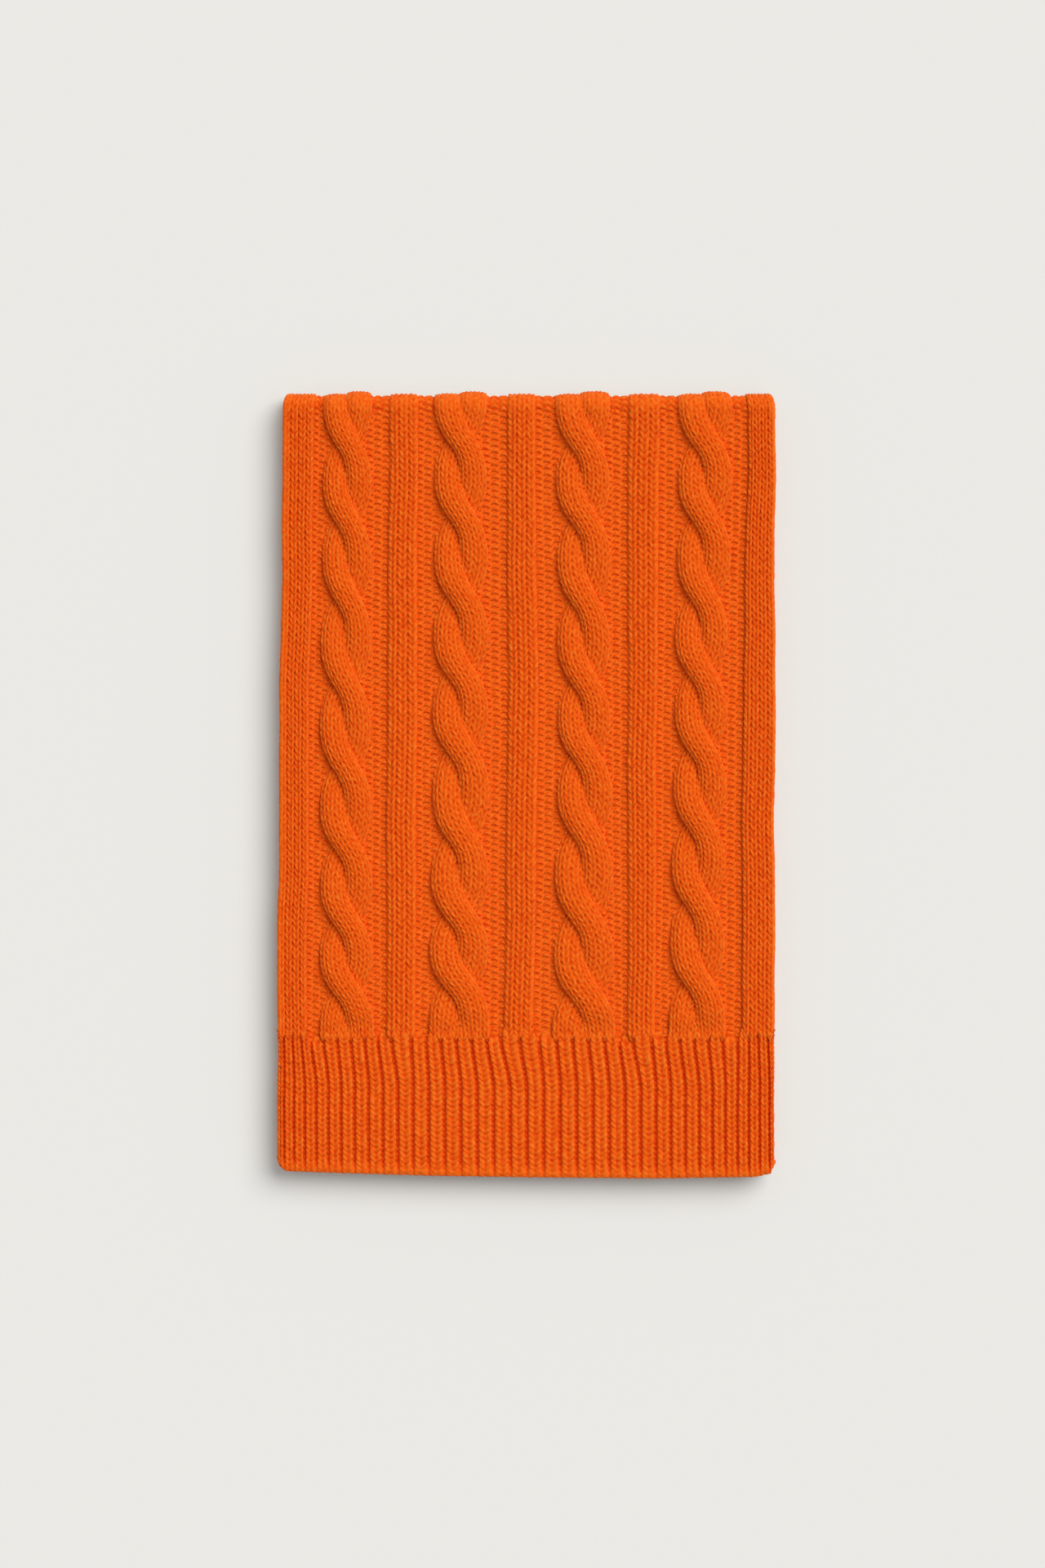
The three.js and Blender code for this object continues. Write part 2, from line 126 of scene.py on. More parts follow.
def wander(s, seed, size=0.35):
    """A slow drift to the side along a wale: the sum of three sines of 47, 83 and 151 mm."""
    return size * sum(
        np.sin(2 * np.pi * s / length + seed * (1.7 + i)) / (1 + i)
        for i, length in enumerate((151, 83, 47))
    )


def on_cloth(x, s, height):
    """Points of the top layer. Beyond the fold line it lies flat, s before it. Before that line it
    turns by s / FOLD_MEASURE round the fold's axis, pressed flatter towards the end of the turn,
    while the rolled selvedges, lower than the gutters, keep their thickness. Before FOLD_END it
    goes on forward, tucked in to the outline of the layer below."""
    x, s, height = np.broadcast_arrays(x, s, height)
    angle = np.clip(-s / FOLD_MEASURE, 0, np.pi)
    flat = smooth(FLATTEN_FROM, 1, angle / np.pi)
    over = np.maximum(height, GUTTER_HEIGHT) - BAND_HEIGHT
    rolled = np.minimum(height, GUTTER_HEIGHT) - GUTTER_HEIGHT
    pressed = LAYER - FLAT_SPARE + PRESSED_EVENS * over + ROLL_PRESSED * rolled
    crown = FOLD_BULGE + FOLD_EVENS * over + ROLL_AT_CROWN * rolled
    radius = FOLD_INNER + mix(mix(height, crown, smooth(0, 0.4, angle / np.pi)), pressed, flat)
    past = np.maximum(FOLD_END - s, 0)
    y = FOLD_Y - np.maximum(s, 0) + radius * np.sin(angle) - past
    z = FOLD_Z + radius * np.cos(angle)
    outward = np.clip((np.abs(x) - CORNER_X[0]) / (CORNER_X[1] - CORNER_X[0]), 0, 1)
    inset = CORNER_INSET * np.clip((y - FOLD_Y) / CORNER, 0, 1) ** 2
    inset = inset + CORNER_TUCK * smooth(0, 6, past)
    return np.stack([x - np.sign(x) * outward * inset, y, z], axis=-1)


def stitch_grid(wales, first_course, last_course, columns=WALE_COLUMNS, rows=COURSE_ROWS):
    """Wale and course of each vertex of plain knitting. Rows of vertices run in a zigzag, lower in
    the middle of each wale, as the stitches do, and drift a little as a sine of both."""
    across = np.arange(round(wales * columns) + 1) / columns
    down = first_course + np.arange(round((last_course - first_course) * rows) + 1) / rows
    wale, row = np.meshgrid(across, down)
    drift = ROW_DRIFT * np.sin(1.7 * wale + 0.31 * row)
    return wale, row, row + drift + STITCH_LEAN * (1 - np.abs(2 * (wale % 1) - 1))


def knit_relief(wale, row, rng, side=WALE_GROOVE):
    """Depth of plain knitting under its crests, in millimetres. A wale has two legs and each leg is
    a chain of drops, one to a course: 1 - sqrt(1 - across^2 - along^2), deepest between wales
    with a small hole at each course, tilted so that its foot lies over the next one's head, and
    each stitch a little uneven. side is the depth at the two sides of each wale."""
    across = (2 * ((2 * wale) % 1) - 1) ** 2
    along = (2 * (row % 1) - 1) ** 2
    hollow = 1 - np.sqrt(np.clip(1 - across - DROP_LENGTHWISE * along, 0, 1))
    middle = 1 - np.abs(2 * (wale % 1) - 1)
    depth = mix(side * (1 + GROOVE_BEADS * along), LEG_GROOVE * (1 + GROOVE_BEADS * along), middle)
    stitches = rng.normal(0, STITCH_UNEVEN, (400, 24))
    leg = np.floor(2 * wale + 1e-6).astype(int) % 24
    course = np.floor(row + 1e-6).astype(int) % 400
    tilt = STITCH_TILT * ((row % 1) - 0.5)
    grain = rng.normal(0, YARN_UNEVEN, wale.shape)
    return -hollow * depth + (1 - across) * (tilt + stitches[course, leg]) + grain


def side_depth(wale, wales):
    """Depth between wales, less at the outer sides of a ridge of so many wales."""
    return np.where((wale < 0.5) | (wale > wales - 0.5), SIDE_GROOVE, WALE_GROOVE)


def at_fold(s):
    """Share of the relief that is left where the cloth is pulled round the back fold."""
    return mix(1, FOLD_RELIEF, smooth(6, -6, s))


def push_out(points, relief):
    """Moves a grid of points along its normals, the cross product of its two directions. Each
    point keeps the relief as a fourth value, from which the yarn's colour is painted darker in
    its hollows and lighter on its crests, as shade and light."""
    down = np.gradient(points, axis=0)
    across = np.gradient(points, axis=1)
    normal = np.cross(down, across)
    normal /= np.linalg.norm(normal, axis=-1, keepdims=True) + 1e-9
    return np.concatenate([points + normal * relief[..., None], relief[..., None]], axis=-1)


def add_skirt(solid, skirt):
    """Adds a column at each side of a grid, down to where the neighbouring cloth hides it."""
    skirt = np.concatenate([skirt, np.full((*skirt.shape[:2], 1), -WALE_GROOVE)], axis=-1)
    return np.concatenate([skirt[:, :1], solid, skirt[:, -1:]], axis=1)


def cloth_piece(name, grids, lowest=0.02):
    """One smooth mesh of several grids of points in millimetres, with their relief as its attribute
    "relief". Columns run to +X and rows away from the fold on a face that looks up. A grid may
    come with a mask of the faces to keep."""
    points, faces, start = [], [], 0
    for grid in grids:
        grid, keep = grid if isinstance(grid, tuple) else (grid, None)
        rows, columns = grid.shape[:2]
        index = start + np.arange(rows * columns).reshape(rows, columns)
        corners = [index[:-1, :-1], index[1:, :-1], index[1:, 1:], index[:-1, 1:]]
        quads = np.stack(corners, axis=-1)
        faces.append(quads.reshape(-1, 4) if keep is None else quads[keep])
        points.append(grid.reshape(-1, 4))
        start += rows * columns
    faces = np.concatenate(faces)
    used, faces = np.unique(faces, return_inverse=True)
    faces = faces.reshape(-1, 4)
    points = np.concatenate(points)[used]
    points[:, 2] = np.maximum(points[:, 2], lowest)
    mesh = bpy.data.meshes.new(name)
    mesh.vertices.add(len(points))
    mesh.vertices.foreach_set("co", (points[:, :3] * MM).ravel())
    mesh.attributes.new("relief", "FLOAT", "POINT").data.foreach_set("value", points[:, 3])
    mesh.loops.add(faces.size)
    mesh.loops.foreach_set("vertex_index", faces.ravel().astype(np.int32))
    mesh.polygons.add(len(faces))
    mesh.polygons.foreach_set("loop_start", np.arange(0, faces.size, 4, dtype=np.int32))
    mesh.polygons.foreach_set("use_smooth", np.ones(len(faces), dtype=bool))
    mesh.update(calc_edges=True)
    mesh.materials.append(wool)
    piece = bpy.data.objects.new(name, mesh)
    bpy.context.collection.objects.link(piece)
    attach(piece, "root")
    return piece


def colour(code):
    """An sRGB hex code as linear RGBA, by the sRGB transfer curve."""
    channels = [int(code[i : i + 2], 16) / 255 for i in (1, 3, 5)]
    linear = [c / 12.92 if c <= 0.04045 else ((c + 0.055) / 1.055) ** 2.4 for c in channels]
    return (*linear, 1)


def add_node(tree, kind, settings=None, links=None):
    """Adds one node, with its settings by attribute or socket name, and its links from sockets."""
    node = tree.nodes.new(kind)
    for name, value in (settings or {}).items():
        if isinstance(name, str) and hasattr(node, name):
            setattr(node, name, value)
        else:
            node.inputs[name].default_value = value
    for name, source in (links or {}).items():
        tree.links.new(source, node.inputs[name])
    return node


# Lambswool yarn, carded and loosely spun, dyed orange: matte, with a short nap that
# catches light at grazing angles, and slightly uneven dye from stitch to stitch. On top of
# the dye, painted shade and light: the colour is darker and redder where the yarn lies deep
# between its neighbours and lighter on its crests, read from the mesh's relief.
WOOL_LIGHT_DYE_AND_LIT = "#FE7C21"
WOOL_MID = "#F9650E"
WOOL_DEEP_DYE_AND_SHADE = "#DC3A02"
PAINTED_BOUNCE_COLOUR = "#CBB8AD"  # painted bounce light: the near-neutral colour the yarn shows to light it throws on the ground, so that the white ground takes on little orange
NEUTRAL_BEYOND = 5  # from this far off the yarn's bounced light is painted that near-neutral colour
PAINTED_SHADE_RELIEF = -1.4  # relief in millimetres at which the yarn is painted darkest, as shade deep between its neighbours
MOTTLE_SIZE = 2.2  # patches of dye about half a stitch across
FIBRE_SIZE = 0.8  # coarser than real fibres, so that they show
wool = bpy.data.materials.new("wool_knit_orange")
wool.use_nodes = True
tree = wool.node_tree
tree.nodes.clear()
place = add_node(tree, "ShaderNodeTexCoord").outputs["Object"]
mottle = add_node(
    tree,
    "ShaderNodeTexNoise",
    {"Scale": 1 / (MOTTLE_SIZE * MM), "Detail": 3.0, "Roughness": 0.6},
    {"Vector": place},
)
relief = add_node(tree, "ShaderNodeAttribute", {"attribute_name": "relief"})
# Painted shade and light: the relief darkens the colour where the yarn lies deep and lightens it on its
# crests.
painted_relief_shade = add_node(
    tree,
    "ShaderNodeMapRange",
    {"From Min": PAINTED_SHADE_RELIEF, "From Max": 0.1, "To Min": -0.17, "To Max": 0.1},
    {"Value": relief.outputs["Fac"]},
)
mottle_and_painted_shade = add_node(
    tree,
    "ShaderNodeMath",
    {"operation": "ADD"},
    {0: mottle.outputs["Fac"], 1: painted_relief_shade.outputs["Result"]},
)
# The ramp from deep to light orange dye, which also carries that painted shade and light.
dye_ramp_with_painted_shade = add_node(tree, "ShaderNodeValToRGB", links={"Fac": mottle_and_painted_shade.outputs["Value"]})
dye_ramp_with_painted_shade.color_ramp.elements[0].position = 0.15
dye_ramp_with_painted_shade.color_ramp.elements[0].color = colour(WOOL_DEEP_DYE_AND_SHADE)
dye_ramp_with_painted_shade.color_ramp.elements[1].position = 0.75
dye_ramp_with_painted_shade.color_ramp.elements[1].color = colour(WOOL_LIGHT_DYE_AND_LIT)
dye_ramp_with_painted_shade.color_ramp.elements.new(0.5).color = colour(WOOL_MID)
# Painted bounce light: diffuse rays that travel further than NEUTRAL_BEYOND see the yarn in a
# near-neutral colour instead of its orange.
rays = add_node(tree, "ShaderNodeLightPath")
far = add_node(
    tree,
    "ShaderNodeMath",
    {"operation": "GREATER_THAN", 1: NEUTRAL_BEYOND * MM},
    {0: rays.outputs["Ray Length"]},
)
onto_ground = add_node(
    tree,
    "ShaderNodeMath",
    {"operation": "MULTIPLY"},
    {0: rays.outputs["Is Diffuse Ray"], 1: far.outputs["Value"]},
)
painted_bounce = add_node(
    tree,
    "ShaderNodeMixRGB",
    {"Color2": colour(PAINTED_BOUNCE_COLOUR)},
    {"Fac": onto_ground.outputs["Value"], "Color1": dye_ramp_with_painted_shade.outputs["Color"]},
)
fibres = add_node(
    tree,
    "ShaderNodeTexNoise",
    {"Scale": 1 / (FIBRE_SIZE * MM), "Detail": 2.0, "Roughness": 0.7, "Distortion": 1.5},
    {"Vector": place},
)
nap = add_node(
    tree,
    "ShaderNodeBump",
    {"Strength": 0.6, "Distance": 0.45 * MM},
    {"Height": fibres.outputs["Fac"]},
)
fabric = add_node(
    tree,
    "ShaderNodeBsdfPrincipled",
    {
        "Roughness": 0.92,
        "IOR": 1.45,
        "Specular IOR Level": 0.12,
        "Sheen Weight": 0.15,
        "Sheen Roughness": 0.5,
        "Sheen Tint": colour("#FFB48A"),
        "Subsurface Weight": 0.1,
        "Subsurface Radius": (1.0, 0.16, 0.05),
        "Subsurface Scale": 0.9 * MM,
    },
    {"Base Color": painted_bounce.outputs["Color"], "Normal": nap.outputs["Normal"]},
)
add_node(tree, "ShaderNodeOutputMaterial", links={"Surface": fabric.outputs["BSDF"]})


def edge_band(side, rng):
    """Seven wales from the gutter out: flat to the selvedge, then an arc of ROLL_RADIUS that turns
    down and under. The first rises from the gutter as a quarter circle does."""
    wale, row, course = stitch_grid(EDGE_WALES, -TUCKED_COURSES, BODY_LENGTH / COURSE)
    s = FOLD_END + course * COURSE
    inner = strip_edge(0 if side < 0 else len(STRIPS) - 2, s)
    outer = strip_edge(-1 if side < 0 else len(STRIPS) - 1, s)
    roll_start = outer - side * ROLL_RADIUS
    angle = np.maximum(0, wale - FLAT_WALES) * ROLL_WALE / ROLL_RADIUS
    under = np.maximum(0, angle - np.pi) * ROLL_RADIUS
    x = mix(inner, roll_start, np.minimum(1, wale / FLAT_WALES))
    x = x + side * (ROLL_RADIUS * np.sin(np.minimum(angle, np.pi)) - under)
    rise = np.sqrt(1 - (1 - np.clip(wale / 0.6, 0, 1)) ** 2)
    height = ROLL_RADIUS * (1 + np.cos(np.minimum(angle, np.pi)))
    height = np.where(wale < 1, mix(RIDGE_FOOT, height, rise), height)
    x = x + wander(s, 3 + side)
    points = on_cloth(x, s, height)
    groove = mix(WALE_GROOVE, SIDE_GROOVE, smooth(FLAT_WALES - 0.6, FLAT_WALES + 0.4, wale))
    relief = knit_relief(wale, row, rng, np.where(wale < 0.5, SIDE_GROOVE, groove))
    relief = relief * mix(1, ROLL_RELIEF, smooth(FLAT_WALES - 0.4, FLAT_WALES + 0.2, wale)) * at_fold(s)
    if side < 0:
        points, relief = points[:, ::-1], relief[:, ::-1]
    return push_out(points, relief)


edge_bands = cloth_piece(
    "edge_bands", [edge_band(side, np.random.default_rng(11 + side)) for side in (-1, 1)]
)
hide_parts("cable_panel")


# The cables. Eight wales of plain knitting stand between two gutters, and every twelfth
# course the left four cross over the right four, so that the two strands twist round each
# other. They stand out as two plump ropes, flattened only where they run into the ribs.
CABLE_REPEAT = 47.4  # twelve courses
CROSSINGS = {  # distance from the fold of the valley after each crossing, for each cable
    2: [43.6, 90.1, 139.6, 193.6, 242.6, 290.6, 335.1, 376.1],
    6: [41.1, 87.1, 139.6, 182.1, 233.1, 287.6, 330.1, 372.6],
    10: [43.6, 90.1, 142.6, 189.1, 233.1, 282.6, 335.6, 377.6],
    14: [43.1, 88.1, 139.6, 181.6, 232.1, 274.6, 327.6, 372.6],
}
CROSSING_COURSES = 12
STRAND_WALES = 4
STRAND_HALF = 0.275  # half a strand's width, as a share of the strip's width
STRAND_SWING = 0.225  # how far its middle swings to each side, as a share too
SWING_SHARPNESS = 0.5  # 0 for a plain sine, more for a steeper crossing
STRAND_BASE = 1.6  # height of a strand's sides, half way between front and back
STRAND_DOME = 4.6  # and of its middle above them
STRAND_ROUND = 2.1  # 2 for an ellipse, more for a flatter top
SUNK_DOME = 0.8  # what is left of the dome at the ribs
STRAND_LIFT = 1.9  # how much higher it is in front, and lower behind
STRAND_DIVE = 0.7  # how much more it dives than it rises
STRAND_SQUEEZE = 0.13  # it is narrower where it crosses in front
LIFT_LAG = 0.08  # it stays in front a little past the side
SIDE_WRAP = 0.35  # how much the outer wales turn away round a strand's side
STRAND_RELIEF = 0.72  # the stitches lie smoother where the cloth is pulled over a strand
AHEAD = 0.02  # a small step along it, in turns, by which its direction is found
CABLE_SINK = 16  # length over which a cable flattens into the ribs


def through(values, place):
    """A smooth curve through values at 0, 1, 2 and so on: cubic Hermite with mean slopes."""
    values = np.asarray(values)
    slopes = np.gradient(values)
    i = np.clip(np.floor(place).astype(int), 0, len(values) - 2)
    t = place - i
    return (
        values[i] * (1 + 2 * t) * (1 - t) ** 2
        + slopes[i] * t * (1 - t) ** 2
        + values[i + 1] * t * t * (3 - 2 * t)
        + slopes[i + 1] * t * t * (t - 1)
    )


def crossing_places(strip):
    """Distances from the fold at which a strand passes in front, half way between two valleys."""
    valleys = CROSSINGS[strip]
    before = [valleys[0] - 2 * CABLE_REPEAT, valleys[0] - CABLE_REPEAT]
    after = [valleys[-1] + CABLE_REPEAT, valleys[-1] + 2 * CABLE_REPEAT]
    line = np.array([*before, *valleys, *after])
    return (line[:-1] + line[1:]) / 2


def strand_line(strip, turn, offset):
    """Middle line of a strand at a number of turns: its x and s, its lift, its half width and how
    far it has sunk into the ribs. It swings from side to side as sin and sin(sin) do, mixed, and
    lifts as the cosine, but dives deeper behind the other and is narrower in front. At the ribs
    the two strands lie side by side."""
    s = through(crossing_places(strip), turn)
    left, right = strip_edge(strip - 1, s), strip_edge(strip, s)
    width = right - left
    phase = np.pi * (turn + offset - 1)
    swing = mix(np.sin(phase), np.sin(np.pi / 2 * np.sin(phase)), SWING_SHARPNESS)
    sink = smooth(RIB_START - CABLE_SINK, RIB_START, s)
    swing = mix(STRAND_SWING * swing, 0.25 * np.sign(np.sin(phase)), sink)
    x = (left + right) / 2 + wander(s, strip, 0.25) * (1 - sink) + width * swing
    lift = np.cos(phase - np.pi * LIFT_LAG)
    lift = lift - STRAND_DIVE * np.maximum(0, -lift) ** 2
    half = STRAND_HALF * (1 - STRAND_SQUEEZE * np.maximum(0, lift) ** 2)
    return x, s, lift, mix(half, 0.25, sink) * width, sink


def strand(strip, offset, rng):
    """One strand: four wales laid across its middle line, domed, with their sides turned down."""
    places = crossing_places(strip)
    turns = np.linspace(0, len(places) - 1, 2000)
    reach = through(places, turns)
    first = np.interp(FOLD_END + 1, reach, turns) * CROSSING_COURSES
    last = np.interp(RIB_START, reach, turns) * CROSSING_COURSES
    wale, row, course = stitch_grid(STRAND_WALES, 0, round(last - first))
    turn = mix(first, last, course / round(last - first)) / CROSSING_COURSES
    x, s, lift, half, sink = strand_line(strip, turn, offset)
    ahead_x, ahead_s, *_ = strand_line(strip, turn + AHEAD, offset)
    slope = (ahead_x - x) / (ahead_s - s) * (1 - sink)
    length = np.sqrt(1 + slope**2)
    t = wale / STRAND_WALES * 2 - 1
    side = mix(t, np.sin(np.pi / 2 * t), SIDE_WRAP * (1 - sink)) * half
    dome = np.sqrt(np.clip(1 - np.abs(t) ** STRAND_ROUND, 0, 1)) * mix(STRAND_DOME, SUNK_DOME, sink)
    base = mix(STRAND_BASE + STRAND_LIFT * lift, BAND_HEIGHT - SUNK_DOME, sink)

    def laid(share, height):
        return on_cloth(x + share * side / length, s - share * side * slope / length, height)

    relief = STRAND_RELIEF * knit_relief(wale, row, rng, side_depth(wale, STRAND_WALES))
    solid = push_out(laid(1, base + dome), relief * at_fold(s))
    return add_skirt(solid, laid(0.9, np.minimum(base, 1.0)))


for strip in CROSSINGS:
    rng = np.random.default_rng(40 + strip)
    strands = [strand(strip, offset, rng) for offset in (0, 1)]
    cable = cloth_piece(f"cable_{1 + strip // 4}", strands)
    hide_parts("cable_panel")


# The knit bands. Three wales of plain knitting stand up between two purl gutters, because
# plain stitches come forward and purl stitches draw back.
BAND_WALES = 3


def knit_band(strip, rng):
    """Three even wales across the strip, with a section like a flattened arch."""
    wale, row, course = stitch_grid(BAND_WALES, 0, BODY_LENGTH / COURSE)
    s = FOLD_END + course * COURSE
    x = mix(strip_edge(strip - 1, s), strip_edge(strip, s), wale / BAND_WALES)
    across = np.abs(2 * wale / BAND_WALES - 1)
    height = mix(RIDGE_FOOT, BAND_HEIGHT, np.sqrt(1 - across**5))
    points = on_cloth(x + wander(s, strip), s, height)
    relief = knit_relief(wale, row, rng, side_depth(wale, BAND_WALES))
    return add_skirt(push_out(points, relief * at_fold(s)), on_cloth(x, s, 0.8))


BANDS = [i for i, (kind, _) in enumerate(STRIPS) if kind == "band"]
knit_bands = cloth_piece(
    "knit_bands", [knit_band(strip, np.random.default_rng(70 + strip)) for strip in BANDS]
)
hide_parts("cable_panel")


# The purl gutters. Two wales of purl stitches lie low on each side of a cable. Each course
# shows as a row of bumps, one to a stitch, set like bricks, also in the corners of the cables.
PURL_WALE = 5.9
PURL_COLUMNS = 5
PURL_ROWS = 6
PURL_DEPTH = 2.2
PURL_WAVE = 0.2  # how far a bump's sides hang down, in courses
PURL_DROOP = 0.25  # how much lower its right side hangs, as a phase
PURL_HALF = 0.53  # half a bump's width, in wales
PURL_YARN = 0.37  # half its thickness, in courses
PURL_UNEVEN = 0.16  # from bump to bump, in millimetres
UNDER_BAND = 1.2  # how far the gutter goes on under a band
UNDER_CABLE = 9.5
UNDER_STRAND = 2.2  # kept under the strand that lies over it


def purl_relief(wale, row, rng):
    """Depth of purl stitches. Each stitch shows as one bump as wide as its wale, rounded both ways
    as sqrt(1 - d^2) is, and those of every second wale lie half a course lower, like bricks."""
    number = np.floor(wale + 1e-6).astype(int)
    course = row + 0.5 * (number % 2)
    from_middle = (wale - number - 0.5) / PURL_HALF
    from_head = (course % 1 - 0.5) / PURL_YARN
    ridge = np.sqrt(np.clip(1 - from_middle**2 - from_head**2, 0, 1))
    bumps = rng.normal(0, PURL_UNEVEN, (400, 80))
    bump = bumps[np.floor(course + 1e-6).astype(int) % 400, number % 80]
    grain = rng.normal(0, YARN_UNEVEN, wale.shape)
    return PURL_DEPTH * (ridge - 1) + ridge * bump + grain


def cable_outline(strip, s, side):
    """The x of a cable's outline on one side at s: that of the strand which reaches furthest."""
    places = crossing_places(strip)
    turns = np.linspace(0, len(places) - 1, 1500)
    outlines = []
    for offset in (0, 1):
        x, along, _, half, _ = strand_line(strip, turns, offset)
        slope = np.gradient(x) / np.gradient(along)
        length = np.sqrt(1 + slope**2)
        half = side * half
        outlines.append(np.interp(s, along - half * slope / length, x + half / length))
    return np.minimum(*outlines) if side < 0 else np.maximum(*outlines)


def purl_gutter(strip, rng):
    """A flat strip of purl stitches, cut away where a cable covers it."""
    kinds = [STRIPS[strip - 1][0], STRIPS[strip + 1][0]]
    reach = [UNDER_CABLE if kind == "cable" else UNDER_BAND for kind in kinds]
    s = FOLD_END + np.arange(round(BODY_LENGTH / COURSE * PURL_ROWS) + 1) / PURL_ROWS * COURSE
    left, right = strip_edge(strip - 1, s) - reach[0], strip_edge(strip, s) + reach[1]
    wales = np.ceil(np.max(right - left) / PURL_WALE)
    across = np.arange(int(wales) * PURL_COLUMNS + 1) / PURL_COLUMNS
    wale, row = np.meshgrid(across, (s - FOLD_END) / COURSE)
    along = FOLD_END + (row + PURL_WAVE * np.cos(2 * np.pi * wale + PURL_DROOP)) * COURSE
    x = mix(left[:, None], right[:, None], wale / wales) + wander(along, strip, 0.25)
    points = on_cloth(x, np.clip(along, FOLD_END, RIB_START), GUTTER_HEIGHT)
    points = push_out(points, purl_relief(wale, row, rng) * at_fold(along))
    keep = np.ones((wale.shape[0] - 1, wale.shape[1] - 1), dtype=bool)
    middle_x = (x[:-1, :-1] + x[1:, 1:]) / 2
    middle_s = (along[:-1, :-1] + along[1:, 1:]) / 2
    if kinds[0] == "cable":
        keep &= middle_x > cable_outline(strip - 1, middle_s, 1) - UNDER_STRAND
    if kinds[1] == "cable":
        keep &= middle_x < cable_outline(strip + 1, middle_s, -1) + UNDER_STRAND
    return points, keep


GUTTERS = [i for i, (kind, _) in enumerate(STRIPS) if kind == "gutter"]
purl_gutters = cloth_piece(
    "purl_gutters", [purl_gutter(strip, np.random.default_rng(90 + strip)) for strip in GUTTERS]
)
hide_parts("cable_panel")


# The inner face. Behind the bumps and ropes the cloth has an even back, which closes the deep
# creases beside the cables.
INNER_FACE = 0.3  # over the plain inner face of the top layer
FACE_INSET = 3
FACE_COLUMNS, FACE_ROWS = 72, 54


def inner_face():
    """A plain sheet from selvedge to selvedge, a column to each wale and a row to two courses."""
    along = np.linspace(FOLD_END, RIB_START + FACE_INSET, FACE_ROWS)
    across, s = np.meshgrid(np.linspace(0, 1, FACE_COLUMNS), along)
    left, right = strip_edge(-1, s) + FACE_INSET, strip_edge(len(STRIPS) - 1, s) - FACE_INSET
    points = on_cloth(mix(left, right, across), s, INNER_FACE)
    return push_out(points, np.zeros(across.shape))


inner = cloth_piece("inner_face", [inner_face()])
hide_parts("cable_panel")


# The ribbed end. From the first rib course every second wale is plain and the ones between
# are purl, so that the cloth folds into narrow ribs with deep grooves. The cast-on edge rolls
# down at the front.
RIB_COURSES = 28
RIB_GROOVES = 35
WALES = 2 * RIB_GROOVES + 1  # across the whole scarf
RIB_END = 471  # from the fold line to where the edge rolls down
RIB_LEFT, RIB_RIGHT = -148.2, 149.3  # the outermost grooves
RIB_CROWDING = 0.43  # they stand closer together towards the selvedges
RIB_KNIT_SHARE = 0.9  # of the way from groove to groove
RIB_HEIGHT = 4.4
RIB_GROOVE_HEIGHT = 1.2
RIB_SIDE_GROOVE = 0.3
RIB_STARTS = (-1.3, 0.2)  # the courses at which the wales begin to rise or sink
RIB_TUCK = 0.85  # how much lower they lie for each course that they go on under the body
RIB_SETTLE = 34  # length over which the wales spread from the body's places to the ribs' own
HEM_ROLL = 3.4  # how far back the rolled edge starts
HEM_TURN_COURSES = 3
HEM_TURN = 0.93  # share of a half turn
HEM_RIBS = 0.22  # share of the ribs' depth that is left on it
HEM = {  # the cast-on edge: y at some x
    -152.7: -229.6,
    -151.0: -234.6,
    -147.0: -237.2,
    -120.0: -238.2,
    -60.0: -240.0,
    0.0: -241.0,
    80.0: -241.7,
    140.0: -240.8,
    150.0: -238.8,
    152.7: -232.6,
}
STRIP_WALES = {"edge": 7, "gutter": 2, "cable": 8, "band": 3}


def hem_y(x):
    """The y of the cast-on edge at x, straight between the places of HEM."""
    return np.interp(x, list(HEM), list(HEM.values()))


def gather(grooves):
    """Both edges of each purl wale, drawn together about the grooves' middles."""
    half = (1 - RIB_KNIT_SHARE) / 2 * np.gradient(grooves)
    return np.stack([grooves - half, grooves + half], axis=1).ravel()


def rib_wale_edges():
    """The x of all 72 wale edges in the ribs, left to right. The grooves' pitch falls off with the
    square of the distance from the middle."""
    t = (2 * np.arange(RIB_GROOVES - 1) + 1) / (RIB_GROOVES - 1) - 1
    pitch = 1 - RIB_CROWDING * t**2
    grooves = RIB_LEFT + (RIB_RIGHT - RIB_LEFT) * np.concatenate([[0], np.cumsum(pitch)]) / pitch.sum()
    return np.array([strip_edge(-1, RIB_START), *gather(grooves), -strip_edge(-1, RIB_START)])


def body_wale_edges():
    """The x of the same 72 wale edges at the end of the body, even across each strip, and the
    height that each wale has there."""
    edges, heights, left = [], [], strip_edge(-1, RIB_START)
    for kind, right in STRIPS:
        wales = STRIP_WALES[kind]
        edges.extend(left + (right[-1] - left) * np.arange(wales) / wales)
        heights.extend([GUTTER_HEIGHT if kind == "gutter" else BAND_HEIGHT] * wales)
        left = right[-1]
    return np.array([*edges, left]), np.array(heights)


def rib_columns():
    """Wale numbers of the columns: ten to a plain wale, close at its steep sides, and four to a
    purl one."""
    plain = np.array([0, 0.05, 0.14, 0.25, 0.375, 0.5, 0.625, 0.75, 0.86, 0.95])
    columns = [
        wale + (np.arange(4) / 4 if wale % 2 else plain) for wale in range(WALES)
    ]
    return np.concatenate([*columns, [WALES]])


def rib_section(wale):
    """Height of the ribs: an arch over each plain wale, a shallow trough in each purl one, and a
    quarter circle down to the ground at both selvedges."""
    t = np.abs(2 * (wale % 1) - 1)
    plain = (np.floor(wale + 1e-6).astype(int) % 2) == 0
    arch = mix(RIB_GROOVE_HEIGHT + 0.3, RIB_HEIGHT, np.sqrt(1 - t**10))
    trough = RIB_GROOVE_HEIGHT + 0.3 * t**2
    height = np.where(plain, arch, trough)
    from_side = np.minimum(wale, WALES - wale)
    round_side = RIB_HEIGHT * np.sqrt(1 - (1 - np.clip(from_side / 0.5, 0, 1)) ** 2)
    return np.where(from_side < 0.5, round_side, height), plain


